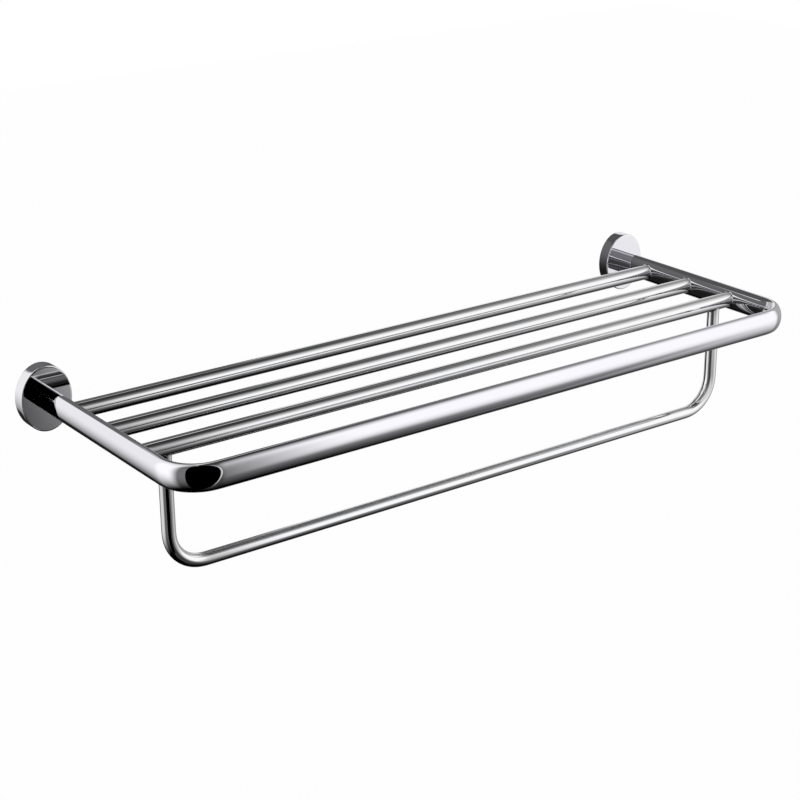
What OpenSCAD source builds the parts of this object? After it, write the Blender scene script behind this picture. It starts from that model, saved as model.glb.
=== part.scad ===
// Wall-mounted towel shelf with a hanging bar.
// A U-bent oval tube frame carries three round cross rails. A thinner bar, bent to a U, hangs
// from the front cross rail. Each arm of the frame is bolted to an oval flange that slips over
// a bracket on the wall, where one grub screw holds it.
//
// Origin: on the wall surface, midway between the two flanges, at their centre height.
// +X runs along the rails to the right, +Y into the wall, +Z up. All sizes are in millimetres.

/* [Frame] */
// Distance between the centres of the two flanges, and of the two arms
flange_pitch = 560; // [300:10:800]
// Distance from the wall to the front of the frame
depth = 210; // [200:5:260]
// Height of the oval frame tube
tube_h = 20; // [18:1:24]
// Width of the oval frame tube
tube_w = 11; // [11:0.5:14]
// Wall thickness of the frame tube
tube_wall = 1.2; // [1:0.1:1.5]
// Radius of the frame's two corner bends, to the centre line
bend_r = 26; // [20:1:30]

/* [Cross rails] */
// Diameter of a cross rail
rail_d = 12.5; // [10:0.5:14]
// Wall thickness of a cross rail
rail_wall = 1; // [0.8:0.1:1.5]
// Distance from the wall to the centre of the back rail
back_rail_y = 44.5; // [40:0.5:48]
// Distance between the centres of two neighbouring rails
rail_pitch = 49; // [40:1:50]

/* [Hanging bar] */
// Diameter of the hanging bar
bar_d = 10; // [8:0.5:12]
// Distance from the frame's centre line down to the bar's centre line
bar_drop = 90.5; // [70:0.5:120]
// Distance from the bar's upright to the centre of the nearer arm
bar_inset = 21.5; // [18:0.5:40]
// Radius of the bar's two bends, to the centre line
bar_bend_r = 27; // [20:1:32]

/* [Flanges] */
// Width of the oval flange
flange_w = 40; // [38:1:50]
// Height of the oval flange
flange_h = 50; // [48:1:60]
// Thickness of the flange, from the wall to its front face
flange_t = 11; // [11:0.5:14]
// Thickness of the flange's shell
flange_wall = 3; // [2.5:0.5:3]
// Bevel around the flange's front edge
flange_bevel = 0.8; // [0.5:0.1:1.2]

/* [Wall bracket] */
// Distance between the two wall screw holes in one bracket
screw_pitch = 26; // [24:1:28]
// Diameter of a wall screw hole
screw_hole_d = 5; // [4.5:0.5:5.5]

/* [Hidden] */
$fn = 96;

// Centre lines of the frame
arm_x = flange_pitch / 2;
front_y = depth - tube_w / 2;
rail_y = [for (i = [0:2]) back_rail_y + i * rail_pitch];
bar_x = arm_x - bar_inset;

// Arm bolt: a low-head M5 screw with a plain washer, threaded into the arm's insert
bolt_d = 5;
bolt_clear_d = 5.5;
bolt_head_d = 8.5;
bolt_head_h = 3.5;
bolt_len = 16;
bolt_hex = 3;
bolt_hex_deep = 1.8;
washer_d = 10;
washer_hole_d = 5.3;
washer_t = 1;
insert_len = 18;
insert_bore_len = 15;

// Grub screw: a cone-point M4 in the bottom of the flange
grub_d = 4;
grub_tip_d = 1.6;
grub_tip_h = 1.2;
grub_sunk = 0.4;
grub_y = 3.5;
grub_hex = 2;
grub_hex_deep = 1.5;

// Wall bracket: a die-cast dish that fits inside the flange
bracket_gap = 0.1;
bracket_t = 6;
bracket_floor = 2.5;
bracket_rim = 3.4;

// Finishes
chrome = [0.86, 0.87, 0.90];
zinc = [0.62, 0.64, 0.66];
steel = [0.72, 0.73, 0.75];
brass = [0.80, 0.66, 0.36];
black_steel = [0.16, 0.16, 0.17];

// Flat oval, w along x and h along y
module oval(w, h) {
    scale([w / 2, h / 2]) circle(r = 1);
}

// Oval wall section, t thick
module oval_ring(w, h, t) {
    difference() {
        oval(w, h);
        oval(w - 2 * t, h - 2 * t);
    }
}

// Stands a shape drawn upwards from the XY plane so that it grows from the wall towards -Y.
// Its x stays along X and its y goes up.
module off_wall(y = 0) {
    translate([0, -y, 0]) rotate([90, 0, 0]) children();
}

// Straight run along X between -half and +half, at distance y from the wall and height z.
// The children's x points away from the wall and their y points up.
module run_x(half, y, z = 0) {
    translate([-half, -y, z]) rotate([0, 90, 0]) rotate([0, 0, -90]) mirror([0, 1, 0])
        linear_extrude(2 * half) children();
}

// Both sides of the part, as mirror images
module both_sides() {
    for (side = [0, 1]) mirror([side, 0, 0]) children();
}

// Quarter bend of a section, from a run along -Y into a run along +X
module corner_bend(r) {
    translate([-arm_x + r, -front_y + r, 0]) rotate([0, 0, 180])
        rotate_extrude(angle = 90) translate([r, 0]) children();
}

// U of the frame tube: two arms, two bends and the front run, from the flanges' faces forward
module frame_u() {
    both_sides() {
        translate([-arm_x, 0, 0]) off_wall(flange_t)
            linear_extrude(front_y - bend_r - flange_t) children();
        corner_bend(bend_r) children();
    }
    run_x(arm_x - bend_r, front_y) children();
}

// Chromed brass frame tube
module frame_tube() {
    color(chrome) frame_u() oval_ring(tube_w, tube_h, tube_wall);
}

// Cross rail at distance y from the wall, with its ends shaped to the arms
module cross_rail(y) {
    color(chrome) difference() {
        run_x(arm_x, y) difference() {
            circle(d = rail_d);
            circle(d = rail_d - 2 * rail_wall);
        }
        both_sides() translate([-arm_x, 0, 0]) off_wall(y - rail_d)
            linear_extrude(2 * rail_d) oval(tube_w, tube_h);
    }
}

// Solid hanging bar: two uprights, two bends and the low run, shaped to the front rail on top
module towel_bar() {
    r = bar_bend_r;
    color(chrome) translate([0, -rail_y[2], 0]) difference() {
        union() {
            both_sides() {
                translate([-bar_x, 0, r - bar_drop]) cylinder(d = bar_d, h = bar_drop - r);
                translate([-bar_x + r, 0, r - bar_drop]) rotate([90, 0, 0]) rotate([0, 0, 180])
                    rotate_extrude(angle = 90) translate([r, 0]) circle(d = bar_d);
            }
            run_x(bar_x - r, 0, -bar_drop) circle(d = bar_d);
        }
        run_x(arm_x, 0) circle(d = rail_d);
    }
}

// The space behind the wall surface. Cutting it away leaves a truly flat back.
module behind_wall() {
    translate([-flange_w, 0, -flange_h]) cube([2 * flange_w, flange_t, 2 * flange_h]);
}

// Flange: a shallow oval cup, open to the wall, with the bolt hole in front and a threaded
// hole for the grub screw at the bottom
module flange_cup() {
    k = flange_bevel / (flange_w / 2);
    color(chrome) difference() {
        union() {
            off_wall(-1) linear_extrude(flange_t - flange_bevel + 1) oval(flange_w, flange_h);
            off_wall(flange_t - flange_bevel) scale([flange_w / 2, flange_h / 2, 1])
                cylinder(r1 = 1, r2 = 1 - k, h = flange_bevel);
        }
        behind_wall();
        off_wall(-1) linear_extrude(flange_t - flange_wall + 1)
            oval(flange_w - 2 * flange_wall, flange_h - 2 * flange_wall);
        off_wall() cylinder(d = bolt_clear_d, h = flange_t + 1);
        translate([0, -grub_y, -flange_h / 2 - 1]) cylinder(d = grub_d, h = flange_wall + 2);
    }
}

// Distance from the flange's centre down to the bracket's lowest point
function bracket_low() = flange_h / 2 - flange_wall - bracket_gap;

// Bracket: an oval dish with two wall screw holes and a dimple for the grub screw's tip
module wall_bracket() {
    w = flange_w - 2 * (flange_wall + bracket_gap);
    h = flange_h - 2 * (flange_wall + bracket_gap);
    color(zinc) difference() {
        off_wall(-1) linear_extrude(bracket_t + 1) oval(w, h);
        behind_wall();
        off_wall(bracket_floor) linear_extrude(bracket_t)
            oval(w - 2 * bracket_rim, h - 2 * bracket_rim);
        for (z = [-0.5, 0.5] * screw_pitch)
            translate([0, 0, z]) off_wall(-1) cylinder(d = screw_hole_d, h = bracket_floor + 2);
        translate([0, -grub_y, -bracket_low()])
            cylinder(d1 = grub_d, d2 = grub_tip_d, h = grub_tip_h);
    }
}

// Brass insert brazed into the end of an arm, threaded for the arm bolt
module arm_insert() {
    color(brass) off_wall(flange_t) difference() {
        linear_extrude(insert_len) oval(tube_w - 2 * tube_wall, tube_h - 2 * tube_wall);
        translate([0, 0, -1]) cylinder(d = bolt_d, h = insert_bore_len + 1);
    }
}

// Arm bolt, driven from inside the flange before the flange goes on the wall
module arm_bolt() {
    seat = flange_t - flange_wall - washer_t;
    color(black_steel) off_wall(seat) difference() {
        union() {
            cylinder(d = bolt_d, h = bolt_len);
            translate([0, 0, -bolt_head_h]) cylinder(d = bolt_head_d, h = bolt_head_h);
        }
        translate([0, 0, -bolt_head_h - 1]) cylinder(d = bolt_hex / cos(30), h = bolt_hex_deep + 1, $fn = 6);
    }
}

// Washer between the bolt's head and the flange
module bolt_washer() {
    color(steel) off_wall(flange_t - flange_wall - washer_t) linear_extrude(washer_t)
        difference() {
            circle(d = washer_d);
            circle(d = washer_hole_d);
        }
}

// Grub screw, pointing up into the bracket's dimple
module grub_screw() {
    foot = -flange_h / 2 + grub_sunk;
    color(black_steel) translate([0, -grub_y, 0]) difference() {
        union() {
            translate([0, 0, foot]) cylinder(d = grub_d, h = -bracket_low() - foot);
            translate([0, 0, -bracket_low()]) cylinder(d1 = grub_d, d2 = grub_tip_d, h = grub_tip_h);
        }
        translate([0, 0, foot - 1]) cylinder(d = grub_hex / cos(30), h = grub_hex_deep + 1, $fn = 6);
    }
}

frame_tube();
cross_rail(rail_y[0]);  // rail_back
cross_rail(rail_y[1]);  // rail_middle
cross_rail(rail_y[2]);  // rail_front
towel_bar();
translate([-arm_x, 0, 0]) flange_cup();  // left_flange_cup
translate([arm_x, 0, 0]) flange_cup();  // right_flange_cup
translate([-arm_x, 0, 0]) wall_bracket();  // left_wall_bracket
translate([arm_x, 0, 0]) wall_bracket();  // right_wall_bracket
translate([-arm_x, 0, 0]) arm_insert();  // left_arm_insert
translate([arm_x, 0, 0]) arm_insert();  // right_arm_insert
translate([-arm_x, 0, 0]) arm_bolt();  // left_arm_bolt
translate([arm_x, 0, 0]) arm_bolt();  // right_arm_bolt
translate([-arm_x, 0, 0]) bolt_washer();  // left_bolt_washer
translate([arm_x, 0, 0]) bolt_washer();  // right_bolt_washer
translate([-arm_x, 0, 0]) grub_screw();  // left_grub_screw
translate([arm_x, 0, 0]) grub_screw();  // right_grub_screw
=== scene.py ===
"""Chrome towel shelf with a hanging bar: looks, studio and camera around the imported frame."""

import math

import bmesh
import bpy
from mathutils import Matrix, Vector


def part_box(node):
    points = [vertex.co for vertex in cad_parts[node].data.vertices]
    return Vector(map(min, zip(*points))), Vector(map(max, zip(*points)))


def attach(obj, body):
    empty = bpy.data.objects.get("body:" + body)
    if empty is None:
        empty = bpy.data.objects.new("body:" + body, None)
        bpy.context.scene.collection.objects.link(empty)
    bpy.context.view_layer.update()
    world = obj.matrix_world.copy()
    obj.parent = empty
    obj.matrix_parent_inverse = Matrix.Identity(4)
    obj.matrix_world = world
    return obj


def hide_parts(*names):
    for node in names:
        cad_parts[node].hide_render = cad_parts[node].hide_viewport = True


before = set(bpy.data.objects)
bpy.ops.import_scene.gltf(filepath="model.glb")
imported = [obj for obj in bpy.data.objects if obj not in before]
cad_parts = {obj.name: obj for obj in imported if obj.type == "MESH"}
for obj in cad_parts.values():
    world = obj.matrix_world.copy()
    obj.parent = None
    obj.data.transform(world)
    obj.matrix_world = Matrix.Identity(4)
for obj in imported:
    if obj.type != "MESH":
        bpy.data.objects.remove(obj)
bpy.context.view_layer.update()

MM = 0.001


# ---------------------------------------------------------------- sizes, read from the frame
def middle(node):
    """The middle of a node's box."""
    lo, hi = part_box(node)
    return (lo + hi) / 2


def half(node):
    """Half the sizes of a node's box."""
    lo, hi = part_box(node)
    return (hi - lo) / 2


# A is half an oval's width in the shelf's plane, B half its height, R a radius and T a depth along Y.
ARM_X = middle("right_flange_cup").x
FLANGE_A = half("right_flange_cup").x
FLANGE_B = half("right_flange_cup").z
FLANGE_T = 2 * half("right_flange_cup").y
FLANGE_WALL = 3 * MM
TUBE_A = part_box("frame_tube")[1].x - ARM_X
TUBE_B = half("frame_tube").z
TUBE_WALL = 1.2 * MM
TUBE_BEND = 26 * MM
FRONT_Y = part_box("frame_tube")[0].y + TUBE_A
RAIL_R = half("rail_front").y
RAIL_WALL = 1 * MM
BAR_R = half("towel_bar").y
BAR_X = half("towel_bar").x - BAR_R
BAR_Y = middle("towel_bar").y
BAR_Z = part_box("towel_bar")[0].z + BAR_R
BAR_BEND = 27 * MM
GRUB_Y = middle("right_grub_screw").y
GRUB_R = half("right_grub_screw").x
BOLT_HOLE_R = 2.75 * MM

# brazed joints: how deep an end sits in its neighbour, the fillet round it, and where the plain
# rings of a rail and of the bar's upright ends stop, clear of the fillet
SEAT = 0.15 * MM
FILLET = 0.9 * MM
RAIL_PLAIN_X = ARM_X - 10 * MM
BAR_PLAIN_Z = -13 * MM

SHARP_ANGLE = math.radians(35)


# ---------------------------------------------------------------- mesh building
def solid(name, verts, faces):
    """A closed mesh object, smooth but for the edges where faces meet at more than SHARP_ANGLE."""
    mesh = bpy.data.meshes.new(name)
    mesh.from_pydata([tuple(v) for v in verts], [], [tuple(f) for f in faces])
    build = bmesh.new()
    build.from_mesh(mesh)
    bmesh.ops.remove_doubles(build, verts=build.verts, dist=1e-7)
    bmesh.ops.delete(build, geom=[v for v in build.verts if not v.link_faces], context="VERTS")
    bmesh.ops.recalc_face_normals(build, faces=build.faces)
    build.to_mesh(mesh)
    build.free()
    mesh.shade_smooth()
    mesh.set_sharp_from_angle(angle=SHARP_ANGLE)
    obj = bpy.data.objects.new(name, mesh)
    bpy.context.scene.collection.objects.link(obj)
    return obj


def turns(n):
    """n angles evenly round a circle."""
    return [math.tau * k / n for k in range(n)]


def loft(rings, closed=False):
    """Vertices and quads between rings of equal length. closed joins the last to the first."""
    n = len(rings[0])
    verts = [p for ring in rings for p in ring]
    faces = []
    for i in range(len(rings) if closed else len(rings) - 1):
        a, b = i * n, ((i + 1) % len(rings)) * n
        for k in range(n):
            m = (k + 1) % n
            faces.append((a + k, b + k, b + m, a + m))
    return verts, faces


def bend(radius, steps=48, ease=0.2):
    """A quarter turn as (along, aside, angle) steps. The curve tightens over its first part and slackens
    over its last, as a drawn tube does, and passes the middle of the round bend of this radius."""
    pull = [min(1, (k + 0.5) / steps / ease, (steps - k - 0.5) / steps / ease) for k in range(steps)]
    out, along, aside, angle = [], 0, 0, 0
    for share in pull:
        half_turn = math.pi / 4 * share / sum(pull)
        angle += half_turn
        along += math.cos(angle)
        aside += math.sin(angle)
        angle += half_turn
        out.append((along, aside, angle))
    halfway = out[steps // 2 - 1][1]
    scale = radius * (1 - math.sqrt(0.5)) / halfway
    return [(along * scale, aside * scale, angle) for along, aside, angle in out]


def rounded_path(points, radius, step=20 * MM):
    """A polyline with bent corners, as (point, direction) pairs at most about a step apart."""
    curve = bend(radius)
    reach = curve[-1][0]
    out = []
    start = Vector(points[0])
    for i in range(1, len(points)):
        corner = Vector(points[i])
        way = (corner - start).normalized()
        last = i == len(points) - 1
        end = corner if last else corner - way * reach
        count = max(2, round((end - start).length / step))
        for k in range(1 if out else 0, count + 1):
            out.append((start.lerp(end, k / count), way))
        if last:
            break
        turn = (Vector(points[i + 1]) - corner).normalized()
        for along, aside, angle in curve:
            out.append((end + way * along + turn * aside, way * math.cos(angle) + turn * math.sin(angle)))
        start = out[-1][0]
    return out


def swept(path, up, a, b, n):
    """Oval rings along a path. b is the half height along up, which is square to the path."""
    up = Vector(up)
    rings = []
    for p, way in path:
        side = way.cross(up).normalized()
        rings.append([p + side * a * math.cos(t) + up * b * math.sin(t) for t in turns(n)])
    return rings


def fillet(count=7):
    """A concave fillet as (distance from the joint, extra radius) pairs, joint first."""
    out = []
    for k in range(count):
        t = math.pi / 2 * k / (count - 1)
        out.append((FILLET * (1 - math.cos(t)), FILLET * (1 - math.sin(t))))
    return out


def make_frame_tube(n=128):
    """Hollow oval tube bent to a U, open where its arms meet the flanges."""
    corners = [(-ARM_X, -FLANGE_T), (-ARM_X, FRONT_Y), (ARM_X, FRONT_Y), (ARM_X, -FLANGE_T)]
    path = rounded_path([(x, y, 0) for x, y in corners], TUBE_BEND)
    outer = swept(path, (0, 0, 1), TUBE_A, TUBE_B, n)
    inner = swept(path, (0, 0, 1), TUBE_A - TUBE_WALL, TUBE_B - TUBE_WALL, n)
    return solid("frame_tube_chrome", *loft(outer + inner[::-1], closed=True))


def make_rail(node, n=96, spans=26):
    """Hollow round rail. Its ends follow the arms' inner sides, with a small brazed fillet."""
    y = middle(node).y

    def end(side, out, extra, r=RAIL_R):
        """A ring on an arm's inner side, moved out from it and made larger."""
        ring = []
        for t in turns(n):
            z = (r + extra) * math.sin(t)
            x = ARM_X - TUBE_A * math.sqrt(1 - (z / TUBE_B) ** 2) + SEAT - out
            ring.append(Vector((side * x, y + (r + extra) * math.cos(t), z)))
        return ring

    def plain(x):
        """A round ring square to X."""
        return [Vector((x, y + RAIL_R * math.cos(t), RAIL_R * math.sin(t))) for t in turns(n)]

    outer = [end(-1, *step) for step in fillet()]
    outer += [plain(RAIL_PLAIN_X * (2 * k / spans - 1)) for k in range(spans + 1)]
    outer += [end(1, *step) for step in fillet()[::-1]]
    inner = [end(side, 0, 0, RAIL_R - RAIL_WALL) for side in (1, -1)]
    return solid(node + "_chrome", *loft(outer + inner, closed=True))


def make_towel_bar(n=80):
    """Solid round bar bent to a U. Its ends follow the front rail, with a small fillet."""
    def end(side, out, extra):
        """A ring on the front rail's underside, moved down from it and made larger."""
        ring = []
        for t in turns(n):
            dy = (BAR_R + extra) * math.sin(t)
            z = -math.sqrt(RAIL_R ** 2 - dy ** 2) + SEAT - out
            ring.append(Vector((side * (BAR_X - (BAR_R + extra) * math.cos(t)), BAR_Y + dy, z)))
        return ring

    corners = [(-BAR_X, BAR_PLAIN_Z), (-BAR_X, BAR_Z), (BAR_X, BAR_Z), (BAR_X, BAR_PLAIN_Z)]
    path = rounded_path([(x, BAR_Y, z) for x, z in corners], BAR_BEND, step=12 * MM)
    rings = [end(-1, *step) for step in fillet()]
    rings += swept(path, (0, 1, 0), BAR_R, BAR_R, n)
    rings += [end(1, *step) for step in fillet()[::-1]]
    verts, faces = loft(rings)
    for side, first in ((-1, 0), (1, len(verts) - n)):
        faces += [(first + k, first + (k + 1) % n, len(verts)) for k in range(n)]
        verts.append(Vector((side * BAR_X, BAR_Y, SEAT - RAIL_R)))
    return solid("towel_bar_chrome", verts, faces)


def make_flange(side, n=256, hole_rows=8, hole_cols=6):
    """Oval cup with soft edges, a bolt hole in front and a countersunk grub screw hole below.
    The grub screw's hole takes up hole_rows by twice hole_cols quads of a wall."""
    name = ("left" if side < 0 else "right") + "_flange"
    x0 = side * ARM_X
    inner_a, inner_b = FLANGE_A - FLANGE_WALL, FLANGE_B - FLANGE_WALL
    inside = FLANGE_T - FLANGE_WALL
    front_edge, inside_edge, fine = 0.8 * MM, 1 * MM, 0.3 * MM
    row = 0.7 * MM
    face_ring, inside_ring = (12 * MM, 15 * MM), (10 * MM, 14 * MM)

    def oval(a, b, depth):
        """A ring parallel to the wall, this far in front of it."""
        return [Vector((x0 + a * math.cos(t), -depth, b * math.sin(t))) for t in turns(n)]

    def arc(a, b, depth, size, count, sign):
        """Rings of a quarter round from the wall of the cup onto its face or rim."""
        rings = []
        for k in range(count + 1):
            t = math.pi / 2 * k / count
            inset = size * (1 - math.cos(t))
            rings.append(oval(a - inset, b - inset, depth + sign * size * math.sin(t)))
        return rings

    walls = [-GRUB_Y + row * (k - hole_rows / 2) for k in range(hole_rows + 1)]
    rings = arc(FLANGE_A, FLANGE_B, fine, fine, 4, -1)[::-1]
    outer_at = len(rings)
    rings += [oval(FLANGE_A, FLANGE_B, d) for d in walls]
    rings += arc(FLANGE_A, FLANGE_B, FLANGE_T - front_edge, front_edge, 8, 1)
    rings += [oval(FLANGE_A - front_edge * 2, FLANGE_B - front_edge * 2, FLANGE_T)]
    rings += [oval(*face_ring, FLANGE_T)]
    rings += [oval(BOLT_HOLE_R, BOLT_HOLE_R, d) for d in (FLANGE_T, inside)]
    rings += [oval(*inside_ring, inside)]
    rings += arc(inner_a, inner_b, inside - inside_edge, inside_edge, 5, 1)[::-1]
    inner_at = len(rings)
    rings += [oval(inner_a, inner_b, d) for d in walls[::-1]]
    rings += [oval(inner_a, inner_b, fine), oval(inner_a + fine, inner_b + fine, 0)]
    verts, faces = loft(rings, closed=True)

    # the grub screw's hole: a window in both walls, filled in around a round hole
    low = n * 3 // 4
    cols = range(low - hole_cols, low + hole_cols)
    windows = []
    for first, outward in ((outer_at, True), (inner_at, False)):
        block = {(first + i) * n + k for i in range(hole_rows) for k in cols}
        faces = [f for f in faces if not (f[0] in block and f[2] == f[1] + 1)]
        order = range(hole_rows + 1) if outward else range(hole_rows, -1, -1)
        grid = [[(first + i) * n + k for k in range(cols.start, cols.stop + 1)] for i in order]
        edge = grid[0][:-1] + [r[-1] for r in grid[:-1]] + grid[-1][:0:-1] + [r[0] for r in grid[:0:-1]]
        windows.append(edge)
    ways = [math.atan2(-verts[i].y + GRUB_Y, verts[i].x - x0) for i in windows[0]]

    def on_wall(a, b, r, lift=0):
        """A ring round the grub screw on the underside of an oval wall, with one point for each of ways."""
        out = []
        for w in ways:
            dx, dy = r * math.cos(w), r * math.sin(w)
            out.append(Vector((x0 + dx, GRUB_Y - dy, lift - b * math.sqrt(1 - (dx / a) ** 2))))
        return out

    def bridge(a, b):
        """Quads between two closed loops of vertex numbers."""
        m = len(a)
        return [(a[k], b[k], b[(k + 1) % m], a[(k + 1) % m]) for k in range(m)]

    def add(points):
        """Adds vertices and gives their numbers."""
        verts.extend(points)
        return list(range(len(verts) - len(points), len(verts)))

    loops = []
    for edge, (a, b), r in ((windows[0], (FLANGE_A, FLANGE_B), GRUB_R + fine),
                            (windows[1], (inner_a, inner_b), GRUB_R)):
        rim = on_wall(a, b, r)
        loop = edge
        for t in (0.35, 0.7, 1):  # shares of the way from the window's edge to the rim
            pts = []
            for i, p in zip(edge, rim):
                dx = (verts[i].x - x0) * (1 - t) + (p.x - x0) * t
                y = verts[i].y * (1 - t) + p.y * t
                pts.append(Vector((x0 + dx, y, -b * math.sqrt(1 - (dx / a) ** 2))))
            nxt = add(pts)
            faces += bridge(loop, nxt)
            loop = nxt
        loops.append(loop)
    sunk = add(on_wall(FLANGE_A, FLANGE_B, GRUB_R, fine))
    faces += bridge(loops[0], sunk) + bridge(sunk, loops[1])
    return solid(name + "_chrome", verts, faces)


# ---------------------------------------------------------------- pieces
tube = make_frame_tube()
rails = [make_rail(node) for node in ("rail_back", "rail_middle", "rail_front")]
bar = make_towel_bar()
flanges = [make_flange(-1), make_flange(1)]
chromed = [(tube, "frame_tube"), (bar, "towel_bar"),
           (flanges[0], "left_flange_cup"), (flanges[1], "right_flange_cup")]
chromed += list(zip(rails, ("rail_back", "rail_middle", "rail_front")))


# ---------------------------------------------------------------- materials
class Graph:
    """Short calls for building a node tree. A value is a number or a node's output."""

    def __init__(self, tree):
        self.tree = tree

    def node(self, kind, **inputs):
        """A new node with its inputs set or linked."""
        made = self.tree.nodes.new(kind)
        for key, value in inputs.items():
            self.feed(made.inputs[key], value)
        return made

    def feed(self, socket, value):
        """Links an output to a socket, or sets the socket to a number."""
        if isinstance(value, bpy.types.NodeSocket):
            self.tree.links.new(value, socket)
        else:
            socket.default_value = value

    def math(self, operation, *values):
        """One arithmetic operation."""
        made = self.tree.nodes.new("ShaderNodeMath")
        made.operation = operation
        for socket, value in zip(made.inputs, values):
            self.feed(socket, value)
        return made.outputs[0]

    def step(self, value, low, high, to_low=0.0, to_high=1.0):
        """A smooth step from to_low, where value is low, to to_high, where it is high."""
        made = self.tree.nodes.new("ShaderNodeMapRange")
        made.interpolation_type = "SMOOTHSTEP"
        for socket, v in zip(made.inputs, (value, low, high, to_low, to_high)):
            self.feed(socket, v)
        return made.outputs[0]

    def mix(self, factor, a, b):
        """Between a, at factor 0, and b, at factor 1."""
        made = self.tree.nodes.new("ShaderNodeMix")
        for key, value in (("Factor", factor), ("A", a), ("B", b)):
            self.feed(next(i for i in made.inputs if i.name == key and i.type == "VALUE"), value)
        return made.outputs[0]


def material(name, colour, metallic, roughness):
    """A new material with its graph and its Principled shader."""
    mat = bpy.data.materials.new(name)
    mat.use_nodes = True
    shader = mat.node_tree.nodes["Principled BSDF"]
    shader.inputs["Base Color"].default_value = (*colour, 1)
    shader.inputs["Metallic"].default_value = metallic
    shader.inputs["Roughness"].default_value = roughness
    return mat, Graph(mat.node_tree), shader


def noise(g, scale, detail, stretch=(1, 1, 1)):
    """Noise from 0 to 1 in the part's own metres. stretch squeezes it along X, Y or Z."""
    place = g.node("ShaderNodeMapping", Vector=g.node("ShaderNodeTexCoord").outputs["Object"], Scale=stretch)
    made = g.node("ShaderNodeTexNoise", Vector=place.outputs[0], Scale=scale, Detail=detail)
    return made.outputs["Fac"]


def tones(g, factor, *colours):
    """A colour ramp over evenly spaced colours."""
    ramp = g.tree.nodes.new("ShaderNodeValToRGB")
    g.feed(ramp.inputs["Fac"], factor)
    stops = ramp.color_ramp.elements
    while len(stops) < len(colours):
        stops.new(0.5)
    for k, colour in enumerate(colours):
        stops[k].position = k / (len(colours) - 1)
        stops[k].color = (*colour, 1)
    return ramp.outputs["Color"]


def bump(g, shader, height, distance):
    """Fine relief: height from 0 to 1 over this distance."""
    made = g.node("ShaderNodeBump", Height=height, Distance=distance, Strength=1)
    g.feed(shader.inputs["Normal"], made.outputs[0])


def chrome(name, cool, warm):
    """Polished plate: faint drift in tint, wiping haze in patches, and a very slight polishing wave."""
    mat, g, shader = material(name, cool, 1, 0.04)
    g.feed(shader.inputs["Base Color"], tones(g, g.step(noise(g, 9, 2), 0.35, 0.65), cool, warm))
    haze = g.step(noise(g, 22, 4, (1, 1, 2.5)), 0.45, 0.72, 0.02, 0.05)
    g.feed(shader.inputs["Roughness"], haze)
    bump(g, shader, noise(g, 60, 1), 0.02 * MM)
    return mat


def cast_zinc():
    """Dull die casting: mottled grey with a fine cast grain."""
    mat, g, shader = material("cast_zinc", (0.60, 0.61, 0.63), 1, 0.5)
    g.feed(shader.inputs["Base Color"],
           tones(g, noise(g, 160, 5), (0.50, 0.51, 0.54), (0.60, 0.61, 0.63), (0.68, 0.69, 0.70)))
    g.feed(shader.inputs["Roughness"], g.step(noise(g, 240, 4), 0.3, 0.7, 0.40, 0.62))
    bump(g, shader, noise(g, 1400, 3), 0.06 * MM)
    return mat


def turned_brass(centre):
    """Lathe-turned brass: fine rings round the part's axis, which lies along Y."""
    mat, g, shader = material("turned_brass", (0.80, 0.66, 0.36), 1, 0.28)
    g.feed(shader.inputs["Base Color"], tones(g, noise(g, 120, 3), (0.74, 0.58, 0.30), (0.83, 0.69, 0.39)))
    rings = rings_round(g, centre, 900)
    g.feed(shader.inputs["Roughness"], g.step(rings, 0, 1, 0.20, 0.34))
    bump(g, shader, rings, 0.02 * MM)
    return mat


def black_oxide():
    """Black oxide over steel: slightly oily patches, with grey showing through in small rubs."""
    mat, g, shader = material("black_oxide", (0.07, 0.07, 0.075), 0.8, 0.4)
    rub = g.step(noise(g, 700, 4), 0.60, 0.72)
    g.feed(shader.inputs["Base Color"], tones(g, rub, (0.060, 0.060, 0.066), (0.20, 0.20, 0.21)))
    g.feed(shader.inputs["Roughness"], g.step(noise(g, 260, 3), 0.3, 0.7, 0.28, 0.48))
    bump(g, shader, noise(g, 1800, 2), 0.015 * MM)
    return mat


def bright_zinc(centre):
    """Zinc-plated washer: blue to straw tint in patches, over the marks of facing."""
    mat, g, shader = material("bright_zinc", (0.72, 0.73, 0.75), 1, 0.25)
    g.feed(shader.inputs["Base Color"],
           tones(g, noise(g, 180, 3), (0.66, 0.70, 0.78), (0.74, 0.75, 0.76), (0.78, 0.76, 0.68)))
    rings = rings_round(g, centre, 700)
    g.feed(shader.inputs["Roughness"], g.step(rings, 0, 1, 0.18, 0.32))
    bump(g, shader, rings, 0.012 * MM)
    return mat


def rings_round(g, centre, count):
    """Fine uneven rings round an axis along Y through centre."""
    place = g.node("ShaderNodeMapping", Vector=g.node("ShaderNodeTexCoord").outputs["Object"],
                   Location=[-c for c in centre])
    wave = g.node("ShaderNodeTexWave", Vector=place.outputs[0], Scale=count, Distortion=0.6, Detail=2)
    wave.wave_type = "RINGS"
    wave.rings_direction = "Y"
    return wave.outputs["Fac"]


TUBE_CHROME = chrome("polished_chrome_tube", (0.865, 0.862, 0.915), (0.880, 0.872, 0.905))
BAR_CHROME = chrome("polished_chrome_bars", (0.865, 0.868, 0.885), (0.880, 0.878, 0.880))
for piece, node in chromed:
    piece.data.materials.append(BAR_CHROME if node.startswith(("rail", "towel")) else TUBE_CHROME)
    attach(piece, "root")
    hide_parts(node)

ZINC = cast_zinc()
BLACK = black_oxide()
for side in ("left", "right"):
    finishes = {
        "wall_bracket": ZINC,
        "arm_insert": turned_brass(middle(side + "_arm_insert")),
        "arm_bolt": BLACK,
        "grub_screw": BLACK,
        "bolt_washer": bright_zinc(middle(side + "_bolt_washer")),
    }
    for part, finish in finishes.items():
        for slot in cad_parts[side + "_" + part].material_slots:
            slot.material = finish


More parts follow.
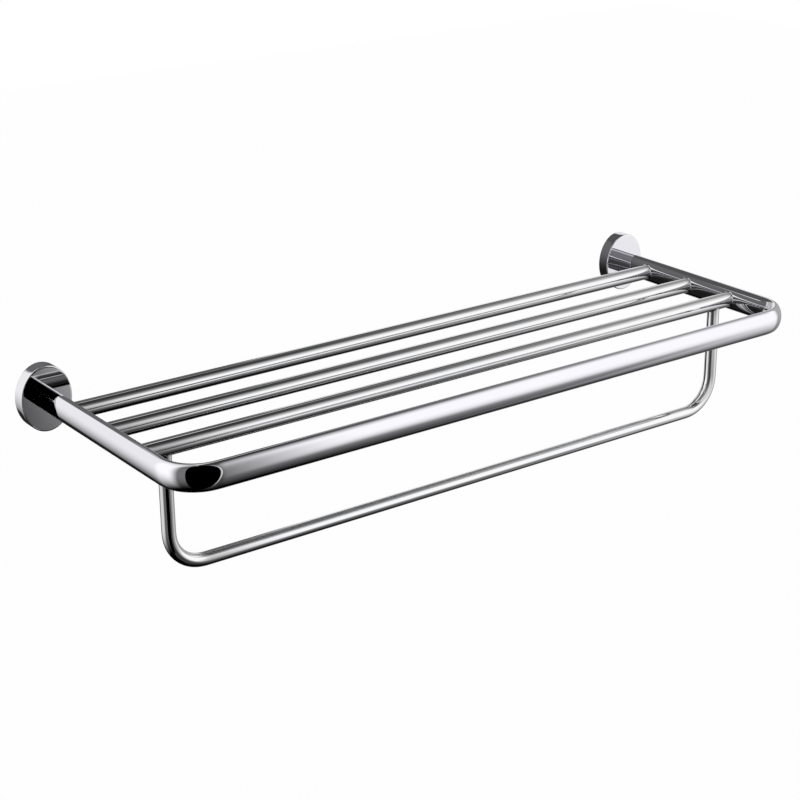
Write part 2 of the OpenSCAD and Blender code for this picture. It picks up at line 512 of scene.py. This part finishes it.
# ---------------------------------------------------------------- the studio as the chrome sees it
scene = bpy.context.scene
scene.view_settings.view_transform = "Standard"

# Headings and heights are in degrees, heading 0 to the wall and 90 to the right, height 0 level.
# A light starts at the first heading, is full between the next two, and ends at the last. The fifth
# number is its strength.
SOFTBOXES = {
    "left box": (-111, -76, -46, -8, 0.96),
    "left box end": (-60, -40, -16, 6, 0.80),
    "wall glow": (-40, 0, 14, 60, 0.44),
    "wall corner": (8, 32, 44, 58, 0.73),
    "side glow": (40, 66, 90, 110, 0.38),
    "right box": (82, 114, 158, 172, 0.94),
    "front fill right": (120, 150, 200, 220, 0.6),
    "front fill left": (-220, -200, -150, -118, 0.6),
}

# the strength between the lights, a factor on all that reflections see, and the strength of the
# even white that lights everything else
ROOM = 0.16
BRIGHTNESS = 1.16
OTHER_LIGHT = 1.0

world = bpy.data.worlds.new("studio")
world.use_nodes = True
scene.world = world
world.cycles.sampling_method = "NONE"
g = Graph(world.node_tree)
back = world.node_tree.nodes["Background"]
way = g.node("ShaderNodeSeparateXYZ", Vector=g.node("ShaderNodeTexCoord").outputs["Generated"])
heading = g.math("DEGREES", g.math("ARCTAN2", way.outputs["X"], way.outputs["Y"]))
height = g.math("DEGREES", g.math("ARCSINE", way.outputs["Z"]))

# the right box leans: its edges move towards the wall as they rise
lean = g.math("MULTIPLY", g.step(heading, 50, 85, 0, 0.57), g.step(heading, 100, 145, 1, 0.35))
risen = g.math("MAXIMUM", g.math("SUBTRACT", height, 10), 0)
turned = g.math("ADD", heading, g.math("MULTIPLY", lean, risen))
light = ROOM
for starts, full_from, full_to, ends, glow in SOFTBOXES.values():
    rise = g.step(turned, starts, full_from, 0, glow)
    light = g.math("MAXIMUM", light, g.math("MULTIPLY", rise, g.step(turned, full_to, ends, 1, 0)))

# floor and ceiling: the boxes fade below eye height, and the right box ends overhead. At the right
# box's far end both come nearer to eye height.
sooner = g.math("MULTIPLY", g.step(heading, 124, 156), 12)
low_side = g.step(height, g.math("ADD", -62, sooner), -2)
low_back = g.step(height, -45, -2)
to_back = g.math("MULTIPLY", g.step(heading, -40, -16), g.step(heading, 8, 26, 1, 0))
top_left = g.step(height, 30, 100, 1, 0.6)
top_right = g.step(g.math("ADD", height, sooner), 32, 62, 1, 0.04)
light = g.math("MULTIPLY", light, g.mix(to_back, low_side, low_back))
light = g.math("MULTIPLY", light, g.mix(g.step(heading, 44, 62), top_left, top_right))

# only reflections see the lights
is_glossy = g.node("ShaderNodeLightPath").outputs["Is Glossy Ray"]
g.feed(back.inputs["Strength"], g.mix(is_glossy, OTHER_LIGHT, g.math("MULTIPLY", light, BRIGHTNESS)))
back.inputs["Color"].default_value = (1, 1, 1, 1)


def card(name, outline, depth, glow, opacity=None):
    """A flat card that only reflections see, square to Y. glow and opacity may be functions that build
    nodes from the graph and the place's X and Z."""
    mesh = bpy.data.meshes.new(name)
    mesh.from_pydata([(x, depth, z) for x, z in outline], [], [range(len(outline))])
    obj = bpy.data.objects.new(name, mesh)
    scene.collection.objects.link(obj)
    mat = bpy.data.materials.new(name)
    mat.use_nodes = True
    mat.node_tree.nodes.clear()
    c = Graph(mat.node_tree)
    place = c.node("ShaderNodeSeparateXYZ", Vector=c.node("ShaderNodeTexCoord").outputs["Object"])
    x, z = place.outputs["X"], place.outputs["Z"]
    surface = c.node("ShaderNodeEmission", Strength=glow(c, x, z) if callable(glow) else glow).outputs[0]
    if opacity:
        both = c.node("ShaderNodeMixShader", Fac=opacity(c, x, z))
        c.feed(both.inputs[1], c.node("ShaderNodeBsdfTransparent").outputs[0])
        c.feed(both.inputs[2], surface)
        surface = both.outputs[0]
    c.feed(c.node("ShaderNodeOutputMaterial").inputs["Surface"], surface)
    mesh.materials.append(mat)
    mat.cycles.emission_sampling = "NONE"
    obj.visible_camera = False
    obj.visible_diffuse = False
    obj.visible_shadow = False


def block(left, right, low, high):
    """The corners of a rectangle."""
    return [(left, low), (right, low), (right, high), (left, high)]


def egg(x, z, across, up, down, n=64):
    """An upright oval about (x, z), taller above than below."""
    return [(x + across * math.cos(t), z + (up if math.sin(t) > 0 else down) * math.sin(t))
            for t in turns(n)]


def soft_sides(left, right, high, soft, most=1.0):
    """Opacity that fades over the distance soft at the left, right and top edges of a card."""
    def opacity(c, x, z):
        sides = c.math("MULTIPLY", c.step(x, left, left + soft), c.step(x, right, right - soft))
        return c.math("MULTIPLY", sides, c.step(z, high, high - soft, 0, most))
    return opacity


def rim_glow(c, x, z):
    """Bright over the middle of the rim's height, dim above and below."""
    return c.math("MULTIPLY", c.step(z, -0.16, -0.075, 0.02, 0.6), c.step(z, 0.125, 0.225, 1, 0.05))


# depths of the cards. Those that share one lie just behind each other.
NEAR, FAR, BEHIND_WALL = -0.3, -0.6, 0.37

# the dark opening between the front boxes, with a light rim on its right
OPENING = (-0.3265, 0.03)
card("opening", egg(*OPENING, 0.1115, 0.8, 0.29), NEAR, 0)
card("opening_rim", egg(*OPENING, 0.1175, 0.82, 0.302), NEAR - 0.001, rim_glow,
     lambda c, x, z: c.step(x, -0.34, -0.32))
card("opening_far", block(-0.66, -0.44, -1.2, 2.4), FAR, 0)

# the right box is dim near the opening and low down
card("box_edge", block(-0.45, 0.11, -0.9, 1.3), FAR - 0.005,
     lambda c, x, z: c.step(z, -0.3, 0.2, 0.05, 0.2),
     lambda c, x, z: c.math("MULTIPLY", c.step(x, 0.11, -0.08), c.step(x, -0.45, -0.36)))
card("box_foot", block(-0.35, 0.75, -2.2, -0.14), FAR - 0.01, 0.02,
     soft_sides(-0.35, 0.75, -0.14, 0.2, 0.6))

# grey flats behind the right arm, dark near the floor
card("flat", block(-0.42, 0.16, -0.9, 0.40), BEHIND_WALL,
     lambda c, x, z: c.step(z, -0.30, 0.2, 0.012, 0.14), soft_sides(-0.42, 0.16, 0.40, 0.06))
card("flat_top", [(-0.26, 0.43), (-0.02, 0.29), (0.72, 0.29), (0.72, 0.80), (-0.26, 0.80)],
     BEHIND_WALL + 0.001, 0.09, soft_sides(-0.26, 0.72, 0.80, 0.05))


# ---------------------------------------------------------------- floor and camera
FLOOR_Z = -1.5
FLOOR_HALF = 8

floor = bpy.data.objects.new("floor", bpy.data.meshes.new("floor"))
outline = block(-FLOOR_HALF, FLOOR_HALF, -FLOOR_HALF, FLOOR_HALF)
floor.data.from_pydata([(x, y, 0) for x, y in outline], [], [range(len(outline))])
floor.location.z = FLOOR_Z
scene.collection.objects.link(floor)
pale, _, shader = material("pale_floor", (0.99, 0.99, 0.99), 0, 0.9)
shader.inputs["Specular IOR Level"].default_value = 0
floor.data.materials.append(pale)
floor.visible_glossy = False

# the camera's place in metres, its turns in radians and its lens in millimetres, fitted to the photo
CAMERA_PLACE = (-0.80917, -1.16926, 0.47383)
YAW, PITCH, ROLL = 0.629, 0.365, -0.008
LENS, SENSOR = 83.57, 36

camera = bpy.data.objects.new("camera", bpy.data.cameras.new("camera"))
scene.collection.objects.link(camera)
scene.camera = camera
camera.data.sensor_width = SENSOR
camera.data.lens = LENS
camera.data.clip_start = 0.05
ahead = Vector((math.sin(YAW) * math.cos(PITCH), math.cos(YAW) * math.cos(PITCH), -math.sin(PITCH)))
right = Vector((math.cos(YAW), -math.sin(YAW), 0))
over = right.cross(ahead)
right, over = (right * math.cos(ROLL) + over * math.sin(ROLL),
               over * math.cos(ROLL) - right * math.sin(ROLL))
turn = Matrix((right, over, -ahead)).transposed()
camera.matrix_world = Matrix.Translation(CAMERA_PLACE) @ turn.to_4x4()
